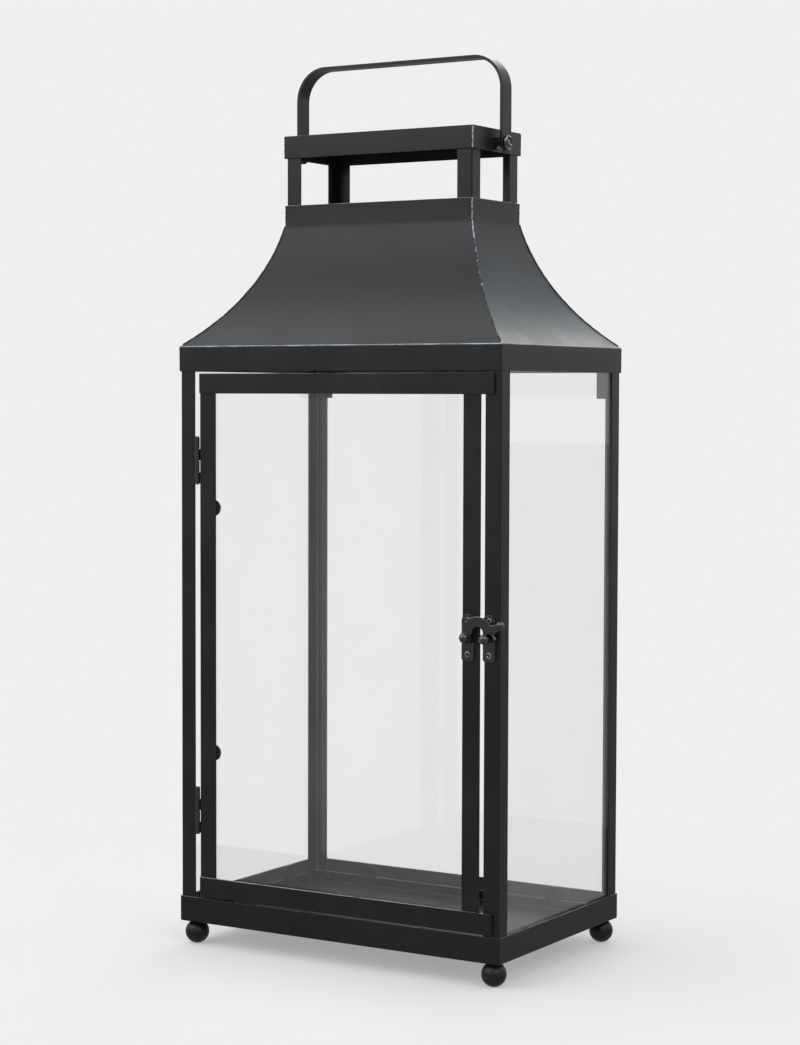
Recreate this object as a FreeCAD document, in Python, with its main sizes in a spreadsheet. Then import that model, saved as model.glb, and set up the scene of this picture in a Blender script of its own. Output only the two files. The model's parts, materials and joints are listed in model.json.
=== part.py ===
import FreeCAD, Part
import os
import re

import Sketcher

# A metal candle lantern: tray on ball feet, four angle posts, glazed sides, a hinged door with a
# hook latch, a bell-cast roof, an open vent, a cap and a strap handle.
# Millimetres. X runs along the door face, -Y is the front, Z is up, and the origin is on the
# floor under the middle of the body. "Forward" is the distance towards the front, so y = -forward.

os.makedirs("parts", exist_ok=True)
doc = FreeCAD.newDocument("candle_lantern")
Vector = FreeCAD.Vector

# ---------------------------------------------------------------------------------------------
# Driving sizes
# ---------------------------------------------------------------------------------------------

SIZES = {
    # body
    "base_length": 240.0,
    "base_depth": 160.0,
    "tray_height": 16.5,
    "window_height": 343.5,
    "fascia_height": 16.0,
    "sheet_gauge": 0.8,
    "post_leg": 11.0,
    "angle_gauge": 1.0,
    "post_headroom": 2.0,
    # feet
    "foot_height": 15.0,
    "foot_flat_radius": 2.2,
    "foot_inset": 8.0,
    "foot_screw_radius": 1.5,
    "foot_screw_depth": 8.0,
    "foot_screw_head_radius": 2.9,
    "foot_screw_head_edge": 0.6,
    "foot_screw_head_dome": 1.1,
    # roof, vent and cap
    "roof_run": 49.5,
    "roof_rise": 79.0,
    "flare_radius": 141.7,
    "collar_height": 13.5,
    "vent_height": 30.5,
    "vent_leg": 10.8,
    "cap_height": 14.5,
    "cap_overhang": 0.5,
    # handle
    "strap_width": 12.0,
    "strap_gauge": 2.0,
    "strap_bend_radius": 21.5,
    "handle_rise": 56.2,
    "pivot_lift": 5.3,
    "spacer_length": 5.0,
    "spacer_radius": 4.0,
    "handle_rivet_radius": 2.5,
    "handle_rivet_head_radius": 4.8,
    "handle_rivet_head_height": 1.8,
    "handle_rivet_tail_radius": 3.6,
    "handle_rivet_tail_height": 1.2,
    # panes and their clips
    "glass_gauge": 2.0,
    "pane_lift": 6.7,
    "pane_top_lap": 10.0,
    "clip_gauge": 0.8,
    "clip_width": 10.4,
    "clip_rise": 9.4,
    "clip_back_rise": 6.0,
    "rear_clip_place": 72.0,
    "side_clip_place": 42.0,
    "tab_width": 11.5,
    "tab_inset": 5.6,
    "rear_tab_drop": 17.0,
    "side_tab_rise": 2.0,
    # door
    "stile_width": 12.4,
    "door_proud": 0.3,
    "hinge_side_gap": 4.3,
    "latch_side_gap": 2.8,
    "door_top_gap": 1.3,
    "door_bottom_gap": 1.2,
    "rail_height": 13.0,
    "rail_depth": 8.0,
    "rail_lap": 6.8,
    "rail_corner_radius": 1.5,
    "rail_end_clearance": 0.8,
    "glass_lap": 4.0,
    "latch_glass_lap": 2.0,
    "door_clip_overhang": 2.3,
    "latch_clip_overhang": 0.6,
    "door_clip_foot": 7.0,
    "upper_clip_drop": 88.1,
    "lower_clip_lift": 96.1,
    # hinges
    "hinge_height": 30.0,
    "hinge_inset": 57.6,
    "barrel_radius": 1.6,
    "leaf_width": 7.6,
    "leaf_gauge": 0.8,
    "hinge_pin_radius": 0.8,
    "hinge_pin_head_radius": 1.3,
    "hinge_pin_head_height": 0.5,
    "hinge_forward": 0.2,
    # latch
    "latch_lift": 182.0,
    "latch_plate_width": 8.6,
    "latch_plate_length": 28.5,
    "latch_plate_corner": 2.0,
    "latch_plate_overhang": 0.5,
    "latch_plate_gauge": 1.0,
    "latch_rivet_reach": 10.4,
    "latch_rivet_radius": 1.0,
    "latch_rivet_head_radius": 1.9,
    "latch_rivet_head_height": 0.5,
    "stud_radius": 1.6,
    "stud_collar_radius": 2.6,
    "stud_tail_radius": 2.0,
    "stud_tail_height": 0.6,
    "knob_radius": 3.1,
    "pivot_head_seat": 3.0,
    "pivot_head_rim": 0.2,
    "catch_waist_radius": 2.7,
    "hook_standoff": 0.9,
    "hook_gauge": 2.5,
    "hook_eye_radius": 4.0,
    "hook_arch_out": 8.5,
    "hook_arch_lift": 3.2,
    "hook_outer_radius": 10.3,
    "hook_inner_radius": 3.9,
    "hook_jaw_radius": 5.6,
    "hook_tail_lean": 38.0,
    "hook_notch_clearance": 0.8,
    "hook_notch_shift": 0.4,
    "hook_rest_gap": 0.3,
    "hook_tail_out": 9.0,
    "hook_tail_up": 8.6,
    "hook_tail_radius": 2.6,
    "hook_tail_width": 3.2,
    "hook_tail_sweep": 14.0,
    # fits
    "running_clearance": 0.05,
    "axial_clearance": 0.1,
    "knuckle_clearance": 0.15,
    "pane_clearance": 0.3,
    "solder_gap": 0.1,
}

sheet = doc.addObject("Spreadsheet::Sheet", "Sizes")
for row, (alias, number) in enumerate(SIZES.items(), start=1):
    sheet.set(f"A{row}", alias)
    sheet.set(f"B{row}", str(number))
    sheet.setAlias(f"B{row}", alias)
doc.recompute()

ALIAS = re.compile(r"\b(" + "|".join(sorted(SIZES, key=len, reverse=True)) + r")\b")


def bound(text):
    """The text as an expression on the sheet."""
    return ALIAS.sub(r"Sizes.\1", str(text))


def value(text):
    """What the text comes to at present."""
    return float(sheet.evalExpression(bound(text)))


# ---------------------------------------------------------------------------------------------
# Levels above the floor and distances from the middle, worked out from the sizes
# ---------------------------------------------------------------------------------------------

TRAY_FLOOR = "(foot_height + sheet_gauge)"
RIM = "(foot_height + tray_height)"
FASCIA = f"({RIM} + window_height)"
EAVES = f"({FASCIA} + fascia_height)"
COLLAR = f"({EAVES} + roof_rise)"
VENT = f"({COLLAR} + collar_height)"
CAP = f"({VENT} + vent_height)"
CAP_TOP = f"({CAP} + cap_height)"

POST_X = "(base_length / 2 - sheet_gauge)"
POST_Y = "(base_depth / 2 - sheet_gauge)"
POST_EDGE = f"({POST_X} - post_leg)"
COLLAR_X = "(base_length / 2 - roof_run)"
COLLAR_Y = "(base_depth / 2 - roof_run)"
CAP_X = f"({COLLAR_X} + cap_overhang)"
CAP_Y = f"({COLLAR_Y} + cap_overhang)"

# the flare is one arc, whose centre lies outside the roof: out from the collar face, and up
HALF_CHORD = "(sqrt(roof_run ^ 2 + roof_rise ^ 2) / 2)"
CHORD_TO_CENTRE = f"sqrt(flare_radius ^ 2 - {HALF_CHORD} ^ 2)"
FLARE_OUT = f"(roof_run / 2 + roof_rise / (2 * {HALF_CHORD}) * {CHORD_TO_CENTRE})"
FLARE_UP = f"({EAVES} + roof_rise / 2 + roof_run / (2 * {HALF_CHORD}) * {CHORD_TO_CENTRE})"

STRAP_IN = f"({CAP_X} + spacer_length)"
STRAP_OUT = f"({STRAP_IN} + strap_gauge)"
PIVOT = f"({CAP} + pivot_lift)"
HANDLE_TOP = f"({PIVOT} + handle_rise)"

PANE_FOOT = f"({TRAY_FLOOR} + pane_lift)"
PANE_TOP = f"({FASCIA} + pane_top_lap)"

STILE_FRONT = f"({POST_Y} + door_proud)"
STILE_BACK = f"({STILE_FRONT} - angle_gauge)"
DOOR_GLASS_BACK = f"({STILE_BACK} - glass_gauge)"
DOOR_LEFT = f"({POST_EDGE} - hinge_side_gap)"
DOOR_RIGHT = f"({POST_EDGE} - latch_side_gap)"
LEFT_INNER = f"({DOOR_LEFT} - stile_width)"
RIGHT_INNER = f"({DOOR_RIGHT} - stile_width)"
DOOR_BOTTOM = f"({RIM} + door_bottom_gap)"
DOOR_TOP = f"({FASCIA} - door_top_gap)"

HINGE_OUT = f"({POST_EDGE} - hinge_side_gap / 2)"
HINGE_FRONT = f"({POST_Y} + hinge_forward)"
UPPER_HINGE = f"({FASCIA} - hinge_inset - hinge_height / 2)"
LOWER_HINGE = f"({RIM} + hinge_inset - hinge_height / 2)"

LATCH = f"({RIM} + latch_lift)"
PIVOT_STUD_X = f"({RIGHT_INNER} + latch_plate_width / 2)"
CATCH_STUD_X = f"({POST_EDGE} - latch_plate_overhang + latch_plate_width / 2)"
HOOK_BACK = f"({STILE_FRONT} + latch_plate_gauge + hook_standoff)"
HOOK_FRONT = f"({HOOK_BACK} + hook_gauge)"
CATCH_HEAD = f"({HOOK_FRONT} + axial_clearance + sqrt(knob_radius ^ 2 - stud_radius ^ 2))"
PIVOT_SEAT = f"({HOOK_FRONT} + axial_clearance)"
PIVOT_HEAD = f"({PIVOT_SEAT} + pivot_head_rim + sqrt(knob_radius ^ 2 - pivot_head_seat ^ 2))"


def flare_underside(out):
    """Level of the roof's inner surface at a distance out from the collar face."""
    return f"({FLARE_UP} - sqrt((flare_radius + sheet_gauge) ^ 2 - ({FLARE_OUT} - ({out})) ^ 2))"


def dome(radius, height):
    """Radius of the sphere of a domed head."""
    return f"(({radius} ^ 2 + {height} ^ 2) / (2 * {height}))"


# ---------------------------------------------------------------------------------------------
# Drawing helpers
# ---------------------------------------------------------------------------------------------

parts = []


def new_body(label):
    body = doc.addObject("PartDesign::Body", label)
    body.Label = label
    parts.append(body)
    return body


def origin(body, role):
    return next(item for item in body.Origin.OriginFeatures if item.Role == role)


def place(item, across="0", back="0", up="0", turn=0):
    """Stands the item at a place, turned about Z by a number of degrees."""
    item.Placement = FreeCAD.Placement(Vector(), FreeCAD.Rotation(Vector(0, 0, 1), turn))
    item.setExpression("Placement.Base.x", bound(across))
    item.setExpression("Placement.Base.y", bound(back))
    item.setExpression("Placement.Base.z", bound(up))


def fix_point(sketch, edge, end, across, up):
    """Ties an edge's end to its distances from the sketch's origin."""
    for kind, text in (("DistanceX", across), ("DistanceY", up)):
        number = sketch.addConstraint(Sketcher.Constraint(kind, -1, 1, edge, end, value(text)))
        sketch.setExpression(f"Constraints[{number}]", bound(text))


def fix_radius(sketch, edge, radius):
    number = sketch.addConstraint(Sketcher.Constraint("Radius", edge, value(radius)))
    sketch.setExpression(f"Constraints[{number}]", bound(radius))


def circle(sketch, across, up, radius):
    centre = Vector(value(across), value(up), 0)
    edge = sketch.addGeometry(Part.Circle(centre, Vector(0, 0, 1), value(radius)), False)
    fix_point(sketch, edge, 3, across, up)
    fix_radius(sketch, edge, radius)


def outline(sketch, corners):
    """Closed loop through the corners. A corner (across, up) starts a straight run, and a corner
    (across, up, radius, side) starts an arc whose centre is left (1) or right (-1) of the way."""
    spots = [Vector(value(corner[0]), value(corner[1]), 0) for corner in corners]
    edges = []
    for number, corner in enumerate(corners):
        start = spots[number]
        end = spots[(number + 1) % len(spots)]
        if len(corner) == 2:
            edges.append(sketch.addGeometry(Part.LineSegment(start, end), False))
            continue
        half = (end - start) / 2
        sideways = Vector(-half.y, half.x, 0).normalize() * corner[3]
        radius = value(corner[2])
        rise = max(radius ** 2 - half.Length ** 2, 0) ** 0.5
        middle = start + half + sideways * (rise - radius)
        edges.append(sketch.addGeometry(Part.ArcOfCircle(start, middle, end), False))

    def end_at(edge, spot):
        """Which end of the edge lies at the spot: an arc is kept counter-clockwise."""
        near = sketch.getPoint(edge, 1).distanceToPoint(spot)
        return 1 if near < sketch.getPoint(edge, 2).distanceToPoint(spot) else 2

    starts = [end_at(edge, spots[number]) for number, edge in enumerate(edges)]
    for number, edge in enumerate(edges):
        before = edges[number - 1]
        before_end = 3 - starts[number - 1]
        joint = Sketcher.Constraint("Coincident", before, before_end, edge, starts[number])
        sketch.addConstraint(joint)
    for number, corner in enumerate(corners):
        fix_point(sketch, edges[number], starts[number], corner[0], corner[1])
        if len(corner) == 4:
            fix_radius(sketch, edges[number], corner[2])


def rectangle(left, right, bottom, top):
    return [(left, bottom), (right, bottom), (right, top), (left, top)]


def drawn(body, name, role, loops, across="0", up="0", out="0"):
    """Sketch of the loops on one of the body's origin planes, shifted within it and out of it.
    A loop is a list of corners, or a tuple (across, up, radius) for a circle."""
    sketch = body.newObject("Sketcher::SketchObject", f"{name}_sketch")
    sketch.AttachmentSupport = [(origin(body, role), "")]
    sketch.MapMode = "FlatFace"
    sketch.setExpression("AttachmentOffset.Base.x", bound(across))
    sketch.setExpression("AttachmentOffset.Base.y", bound(up))
    sketch.setExpression("AttachmentOffset.Base.z", bound(out))
    for loop in loops:
        if isinstance(loop, tuple):
            circle(sketch, *loop)
        else:
            outline(sketch, loop)
    return sketch


def pad(body, name, role, loops, out, length, even=False):
    """Adds the loops' area from out, along the plane's normal; even spreads it both ways."""
    feature = body.newObject("PartDesign::Pad", name)
    feature.Profile = drawn(body, name, role, loops, out=out)
    feature.setExpression("Length", bound(length))
    feature.SideType = "Symmetric" if even else "One side"
    return feature


def cut(body, name, role, loops, out, length):
    """Removes the loops' area from out, along the plane's normal."""
    feature = body.newObject("PartDesign::Pocket", name)
    feature.Profile = drawn(body, name, role, loops, out=out)
    feature.setExpression("Length", bound(length))
    feature.Reversed = True
    return feature


def turned(body, name, role, axis, corners, across="0", up="0", out="0"):
    """Adds a solid of revolution about the sketch's own H_Axis or V_Axis."""
    sketch = drawn(body, name, role, [corners], across, up, out)
    feature = body.newObject("PartDesign::Revolution", name)
    feature.Profile = sketch
    feature.ReferenceAxis = (sketch, [axis])
    feature.Angle = 360
    return feature


def mirrored(body, name, role, features):
    """Adds the mirror image of the features."""
    feature = body.newObject("PartDesign::Mirrored", name)
    feature.Originals = features
    feature.MirrorPlane = (origin(body, role), [""])
    body.Tip = feature
    return feature


# name, side along X, end along Y, and turn about Z of what stands in each corner
CORNERS = (
    ("front_left", -1, -1, 0),
    ("front_right", 1, -1, 90),
    ("rear_right", 1, 1, 180),
    ("rear_left", -1, 1, 270),
)

# ---------------------------------------------------------------------------------------------
# Tray and feet
# ---------------------------------------------------------------------------------------------

FOOT_X = "(base_length / 2 - foot_inset)"
FOOT_Y = "(base_depth / 2 - foot_inset)"
SCREW_BORE = "(foot_screw_radius + running_clearance)"


def base_tray():
    body = new_body("base_tray")
    outer = rectangle("-base_length / 2", "base_length / 2", "-base_depth / 2", "base_depth / 2")
    pad(body, "tray_block", "XY_Plane", [outer], "foot_height", "tray_height")
    inner = rectangle(f"-{POST_X}", POST_X, f"-{POST_Y}", POST_Y)
    cut(body, "tray_hollow", "XY_Plane", [inner], TRAY_FLOOR, "tray_height")
    holes = [(f"{x} * {FOOT_X}", f"{y} * {FOOT_Y}", SCREW_BORE) for x in (-1, 1) for y in (-1, 1)]
    cut(body, "foot_screw_holes", "XY_Plane", holes, "foot_height", "sheet_gauge")


def foot(label, side, end):
    """Ball cut flat below, where it stands, and above, where it meets the tray."""
    body = new_body(label)
    bore_floor = "(foot_height - foot_screw_depth)"
    corners = [
        ("0", "0"),
        ("foot_flat_radius", "0", "sqrt(foot_flat_radius ^ 2 + foot_height ^ 2 / 4)", 1),
        ("foot_flat_radius", "foot_height"),
        (SCREW_BORE, "foot_height"),
        (SCREW_BORE, bore_floor),
        ("0", bore_floor),
    ]
    turned(body, "ball", "XZ_Plane", "V_Axis", corners)
    place(body, f"{side} * {FOOT_X}", f"{end} * {FOOT_Y}")


def foot_screws():
    """One in each corner, from inside the tray down into the ball."""
    body = new_body("foot_screws")
    seat = TRAY_FLOOR
    edge = f"({seat} + foot_screw_head_edge)"
    crown = f"({edge} + foot_screw_head_dome)"
    tip = "(foot_height - foot_screw_depth + axial_clearance)"
    crown_radius = dome("foot_screw_head_radius", "foot_screw_head_dome")
    corners = [
        ("0", tip),
        ("foot_screw_radius", tip),
        ("foot_screw_radius", seat),
        ("foot_screw_head_radius", seat),
        ("foot_screw_head_radius", edge, crown_radius, 1),
        ("0", crown),
    ]
    for name, side, end, turn in CORNERS:
        out = f"{-end} * {FOOT_Y}"
        turned(body, f"screw_{name}", "XZ_Plane", "V_Axis", corners, across=f"{side} * {FOOT_X}", out=out)


# ---------------------------------------------------------------------------------------------
# Posts
# ---------------------------------------------------------------------------------------------


def angle_post(label, leg, corner_x, corner_y, foot_level, head_level, turn):
    """Angle section with its outer corner at the given place; turn 0 is the front left one."""
    body = new_body(label)
    section = [
        ("0", "0"),
        (leg, "0"),
        (leg, "angle_gauge"),
        ("angle_gauge", "angle_gauge"),
        ("angle_gauge", leg),
        ("0", leg),
    ]
    pad(body, "angle", "XY_Plane", [section], foot_level, f"{head_level} - {foot_level}")
    place(body, corner_x, corner_y, turn=turn)
    return body


def corner_posts():
    head = f"({EAVES} - post_headroom)"
    for name, side, end, turn in CORNERS:
        corner_x = f"{side} * {POST_X}"
        corner_y = f"{end} * {POST_Y}"
        body = angle_post(f"corner_post_{name}", "post_leg", corner_x, corner_y, TRAY_FLOOR, head, turn)
        if name == "front_right":
            holes = latch_holes(f"({POST_X} - {CATCH_STUD_X})", LATCH)
            cut(body, "catch_holes", "YZ_Plane", holes, "0", "angle_gauge")


def vent_posts():
    for name, side, end, turn in CORNERS:
        corner_x = f"{side} * ({COLLAR_X} - sheet_gauge)"
        corner_y = f"{end} * ({COLLAR_Y} - sheet_gauge)"
        head = f"({CAP_TOP} - sheet_gauge)"
        angle_post(f"vent_post_{name}", "vent_leg", corner_x, corner_y, COLLAR, head, turn)


# ---------------------------------------------------------------------------------------------
# Roof, cap
# ---------------------------------------------------------------------------------------------


def roof_panel(label, reach, half_width, turn):
    """Folded sheet of fascia, flare and collar, mitred at both ends, drawn facing the front.
    reach is the distance from the middle to the fascia's face."""
    body = new_body(label)
    collar_face = f"({reach} - roof_run)"
    fascia_in = f"-({reach} - sheet_gauge)"
    collar_in = f"-({collar_face} - sheet_gauge)"
    section = [
        (f"-{reach}", FASCIA),
        (f"-{reach}", EAVES, "flare_radius", 1),
        (f"-{collar_face}", COLLAR),
        (f"-{collar_face}", VENT),
        (collar_in, VENT),
        (collar_in, flare_underside("-sheet_gauge"), "(flare_radius + sheet_gauge)", -1),
        (fascia_in, flare_underside("roof_run - sheet_gauge")),
        (fascia_in, FASCIA),
    ]
    pad(body, "folded_sheet", "YZ_Plane", [section], "0", f"2 * {half_width}", even=True)
    margin = "(2 * sheet_gauge)"
    mitres = []
    for side in (-1, 1):
        outer = f"{side} * ({half_width} + {margin})"
        inner = f"{side} * ({half_width} - roof_run - {margin})"
        front = f"-({reach} + {margin})"
        rear = f"-({collar_face} - {margin})"
        mitres.append([(outer, front), (outer, rear), (inner, rear)])
    cut(body, "mitres", "XY_Plane", mitres, FASCIA, f"{VENT} - {FASCIA}")
    place(body, turn=turn)


def cap_lid():
    body = new_body("cap_lid")
    outer = rectangle(f"-{CAP_X}", CAP_X, f"-{CAP_Y}", CAP_Y)
    pad(body, "lid_block", "XY_Plane", [outer], CAP, "cap_height")
    inside_x = f"({CAP_X} - sheet_gauge)"
    inside_y = f"({CAP_Y} - sheet_gauge)"
    inner = rectangle(f"-{inside_x}", inside_x, f"-{inside_y}", inside_y)
    cut(body, "lid_hollow", "XY_Plane", [inner], CAP, "cap_height - sheet_gauge")
    holes = [("0", PIVOT, "(handle_rivet_radius + running_clearance)")]
    cut(body, "rivet_holes", "YZ_Plane", holes, f"-{CAP_X}", f"2 * {CAP_X}")


# ---------------------------------------------------------------------------------------------
# Handle
# ---------------------------------------------------------------------------------------------


def handle_strap():
    body = new_body("handle_strap")
    low = f"({PIVOT} - strap_width / 2)"
    shoulder = f"({HANDLE_TOP} - strap_bend_radius)"
    bend = f"({STRAP_OUT} - strap_bend_radius)"
    crown_in = f"({HANDLE_TOP} - strap_gauge)"
    inner_radius = "(strap_bend_radius - strap_gauge)"
    hoop = [
        (f"-{STRAP_OUT}", low),
        (f"-{STRAP_OUT}", shoulder, "strap_bend_radius", -1),
        (f"-{bend}", HANDLE_TOP),
        (bend, HANDLE_TOP, "strap_bend_radius", -1),
        (STRAP_OUT, shoulder),
        (STRAP_OUT, low),
        (STRAP_IN, low),
        (STRAP_IN, shoulder, inner_radius, 1),
        (bend, crown_in),
        (f"-{bend}", crown_in, inner_radius, 1),
        (f"-{STRAP_IN}", shoulder),
        (f"-{STRAP_IN}", low),
    ]
    pad(body, "hoop", "XZ_Plane", [hoop], "0", "strap_width", even=True)
    edge = "(strap_width / 2)"
    below = f"({low} - strap_gauge)"
    round_off = [
        (edge, PIVOT, edge, -1),
        ("0", low, edge, -1),
        (f"-{edge}", PIVOT),
        (f"-{edge}", below),
        (edge, below),
    ]
    cut(body, "rounded_ends", "YZ_Plane", [round_off], f"-{STRAP_OUT}", f"2 * {STRAP_OUT}")
    bore = ("0", PIVOT, "(handle_rivet_radius + running_clearance)")
    cut(body, "bores", "YZ_Plane", [bore], f"-{STRAP_OUT}", f"2 * {STRAP_OUT}")


def handle_spacer(label, turn):
    body = new_body(label)
    ring = [("0", PIVOT, "spacer_radius"), ("0", PIVOT, "(handle_rivet_radius + running_clearance)")]
    pad(body, "ring", "YZ_Plane", ring, CAP_X, "spacer_length - axial_clearance")
    place(body, turn=turn)


def handle_rivet(label, turn):
    body = new_body(label)
    wall_in = f"({CAP_X} - sheet_gauge)"
    tail = f"({wall_in} - handle_rivet_tail_height)"
    seat = f"({STRAP_OUT} + axial_clearance)"
    crown_radius = dome("handle_rivet_head_radius", "handle_rivet_head_height")
    corners = [
        (tail, "0"),
        (tail, "handle_rivet_tail_radius"),
        (wall_in, "handle_rivet_tail_radius"),
        (wall_in, "handle_rivet_radius"),
        (seat, "handle_rivet_radius"),
        (seat, "handle_rivet_head_radius", crown_radius, -1),
        (f"({seat} + handle_rivet_head_height)", "0"),
    ]
    turned(body, "rivet", "XZ_Plane", "H_Axis", corners, up=PIVOT)
    place(body, turn=turn)


# ---------------------------------------------------------------------------------------------
# Fixed panes and their clips
# ---------------------------------------------------------------------------------------------

BEHIND_POST = "(sheet_gauge + angle_gauge)"


def pane(label, reach, half_width, turn):
    """Pane against the inner faces of two posts, drawn as the front one."""
    body = new_body(label)
    sheet_of_glass = rectangle(f"-{half_width}", half_width, PANE_FOOT, PANE_TOP)
    back = f"({reach} - {BEHIND_POST} - glass_gauge)"
    pad(body, "sheet_of_glass", "XZ_Plane", [sheet_of_glass], back, "glass_gauge")
    place(body, turn=turn)


def pane_clips(label, reach, half_width, clip_place, tab_foot, turn):
    """Two J clips on the tray rim that carry a pane, and two tabs under the roof that hold its
    top, drawn as those of a front pane. tab_foot is the level of the tabs' lower ends."""
    body = new_body(label)
    pane_out = f"({reach} - {BEHIND_POST})"
    pane_in = f"({pane_out} - glass_gauge)"
    face = f"({pane_in} - clip_gauge)"
    left = f"({clip_place} - clip_width / 2)"
    right = f"({clip_place} + clip_width / 2)"
    under = f"({PANE_FOOT} - clip_gauge)"
    tongue_top = f"({PANE_FOOT} + clip_rise)"
    tongue_side = f"({tongue_top} - clip_width / 2)"
    tongue = [
        (left, under),
        (right, under),
        (right, tongue_side, "clip_width / 2", 1),
        (clip_place, tongue_top, "clip_width / 2", 1),
        (left, tongue_side),
    ]
    seat = rectangle(left, right, under, PANE_FOOT)
    back_leg = rectangle(left, right, under, f"({PANE_FOOT} + clip_back_rise)")
    tab_right = f"({half_width} - tab_inset)"
    tab_left = f"({tab_right} - tab_width)"
    roof_level = flare_underside(f"roof_run - {BEHIND_POST} - glass_gauge")
    tab = rectangle(tab_left, tab_right, tab_foot, f"({roof_level} - solder_gap)")
    features = [
        pad(body, "tongue", "XZ_Plane", [tongue], face, "clip_gauge"),
        pad(body, "seat", "XZ_Plane", [seat], face, "clip_gauge + glass_gauge + angle_gauge"),
        pad(body, "back_leg", "XZ_Plane", [back_leg], pane_out, "angle_gauge"),
        pad(body, "tab", "XZ_Plane", [tab], face, "clip_gauge"),
    ]
    mirrored(body, "other_end", "YZ_Plane", features)
    place(body, turn=turn)


# ---------------------------------------------------------------------------------------------
# Door
# ---------------------------------------------------------------------------------------------


def latch_holes(across, up):
    """Stud hole and two rivet holes, one above the other."""
    rivet_bore = "(latch_rivet_radius + running_clearance)"
    return [
        (across, up, "(stud_radius + running_clearance)"),
        (across, f"({up} + latch_rivet_reach)", rivet_bore),
        (across, f"({up} - latch_rivet_reach)", rivet_bore),
    ]


def door_stiles():
    bottom = f"({DOOR_BOTTOM} + angle_gauge)"
    top = f"({DOOR_TOP} - angle_gauge)"
    left = new_body("door_stile_left")
    flat = rectangle(f"-{DOOR_LEFT}", f"-{LEFT_INNER}", bottom, top)
    pad(left, "strip", "XZ_Plane", [flat], STILE_BACK, "angle_gauge")
    right = new_body("door_stile_right")
    flat = rectangle(RIGHT_INNER, DOOR_RIGHT, bottom, top)
    holes = latch_holes(PIVOT_STUD_X, LATCH)
    pad(right, "strip", "XZ_Plane", [flat] + holes, STILE_BACK, "angle_gauge")


def door_rail(label, outer_level, inwards):
    """Angle rail whose face laps the latch-side post; inwards is 1 up from the bottom of the
    door and -1 down from its top."""
    body = new_body(label)
    levels = [outer_level, f"({outer_level} + {inwards} * rail_height)"]
    low, high = levels[::inwards]
    stop = f"({POST_EDGE} + rail_lap)"
    before_stop = f"({stop} - rail_corner_radius)"
    face = [
        (f"-{DOOR_LEFT}", low),
        (before_stop, low, "rail_corner_radius", 1),
        (stop, f"({low} + rail_corner_radius)"),
        (stop, f"({high} - rail_corner_radius)", "rail_corner_radius", 1),
        (before_stop, high),
        (f"-{DOOR_LEFT}", high),
    ]
    pad(body, "face", "XZ_Plane", [face], STILE_FRONT, "angle_gauge")
    levels = [outer_level, f"({outer_level} + {inwards} * angle_gauge)"]
    low, high = levels[::inwards]
    ledge = rectangle(f"-{DOOR_LEFT}", f"({POST_EDGE} - rail_end_clearance)", low, high)
    ledge_back = f"({STILE_FRONT} + angle_gauge - rail_depth)"
    pad(body, "ledge", "XZ_Plane", [ledge], ledge_back, "rail_depth")


def door_glass():
    body = new_body("door_glass")
    left = f"-({LEFT_INNER} + glass_lap)"
    right = f"({RIGHT_INNER} + latch_glass_lap)"
    bottom = f"({DOOR_BOTTOM} + angle_gauge + pane_clearance)"
    top = f"({DOOR_TOP} - angle_gauge - pane_clearance)"
    sheet_of_glass = rectangle(left, right, bottom, top)
    pad(body, "sheet_of_glass", "XZ_Plane", [sheet_of_glass], DOOR_GLASS_BACK, "glass_gauge")


def clips_door():
    """Four joggled tongues from the stiles' backs over the door pane."""
    body = new_body("clips_door")
    sides = (
        ("left", -1, LEFT_INNER, "glass_lap", "door_clip_overhang"),
        ("right", 1, RIGHT_INNER, "latch_glass_lap", "latch_clip_overhang"),
    )
    levels = (
        ("upper", f"({FASCIA} - upper_clip_drop)"),
        ("lower", f"({RIM} + lower_clip_lift)"),
    )
    tongue_front = f"({DOOR_GLASS_BACK} - clip_gauge)"
    for side_name, side, inner, lap, overhang in sides:
        riser_in = f"({inner} + {lap} + pane_clearance)"
        riser_out = f"({riser_in} + clip_gauge)"
        tip = f"({inner} - {overhang})"
        shoulder = f"({tip} + clip_width / 2)"
        for level_name, level in levels:
            name = f"{side_name}_{level_name}"
            low = f"({level} - clip_width / 2)"
            high = f"({level} + clip_width / 2)"
            tongue = [
                (f"{side} * {riser_out}", high),
                (f"{side} * {shoulder}", high, "clip_width / 2", side),
                (f"{side} * {tip}", level, "clip_width / 2", side),
                (f"{side} * {shoulder}", low),
                (f"{side} * {riser_out}", low),
            ]
            pad(body, f"{name}_tongue", "XZ_Plane", [tongue], tongue_front, "clip_gauge")
            riser = rectangle(f"{side} * {riser_in}", f"{side} * {riser_out}", low, high)
            pad(body, f"{name}_riser", "XZ_Plane", [riser], tongue_front, "clip_gauge + glass_gauge")
            heel = f"{side} * ({riser_in} + door_clip_foot)"
            sole = rectangle(f"{side} * {riser_in}", heel, low, high)
            pad(body, f"{name}_foot", "XZ_Plane", [sole], f"({STILE_BACK} - clip_gauge)", "clip_gauge")


# ---------------------------------------------------------------------------------------------
# Hinges, drawn about the pin's axis with the lower end at level 0
# ---------------------------------------------------------------------------------------------

KNUCKLES = 4


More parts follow.
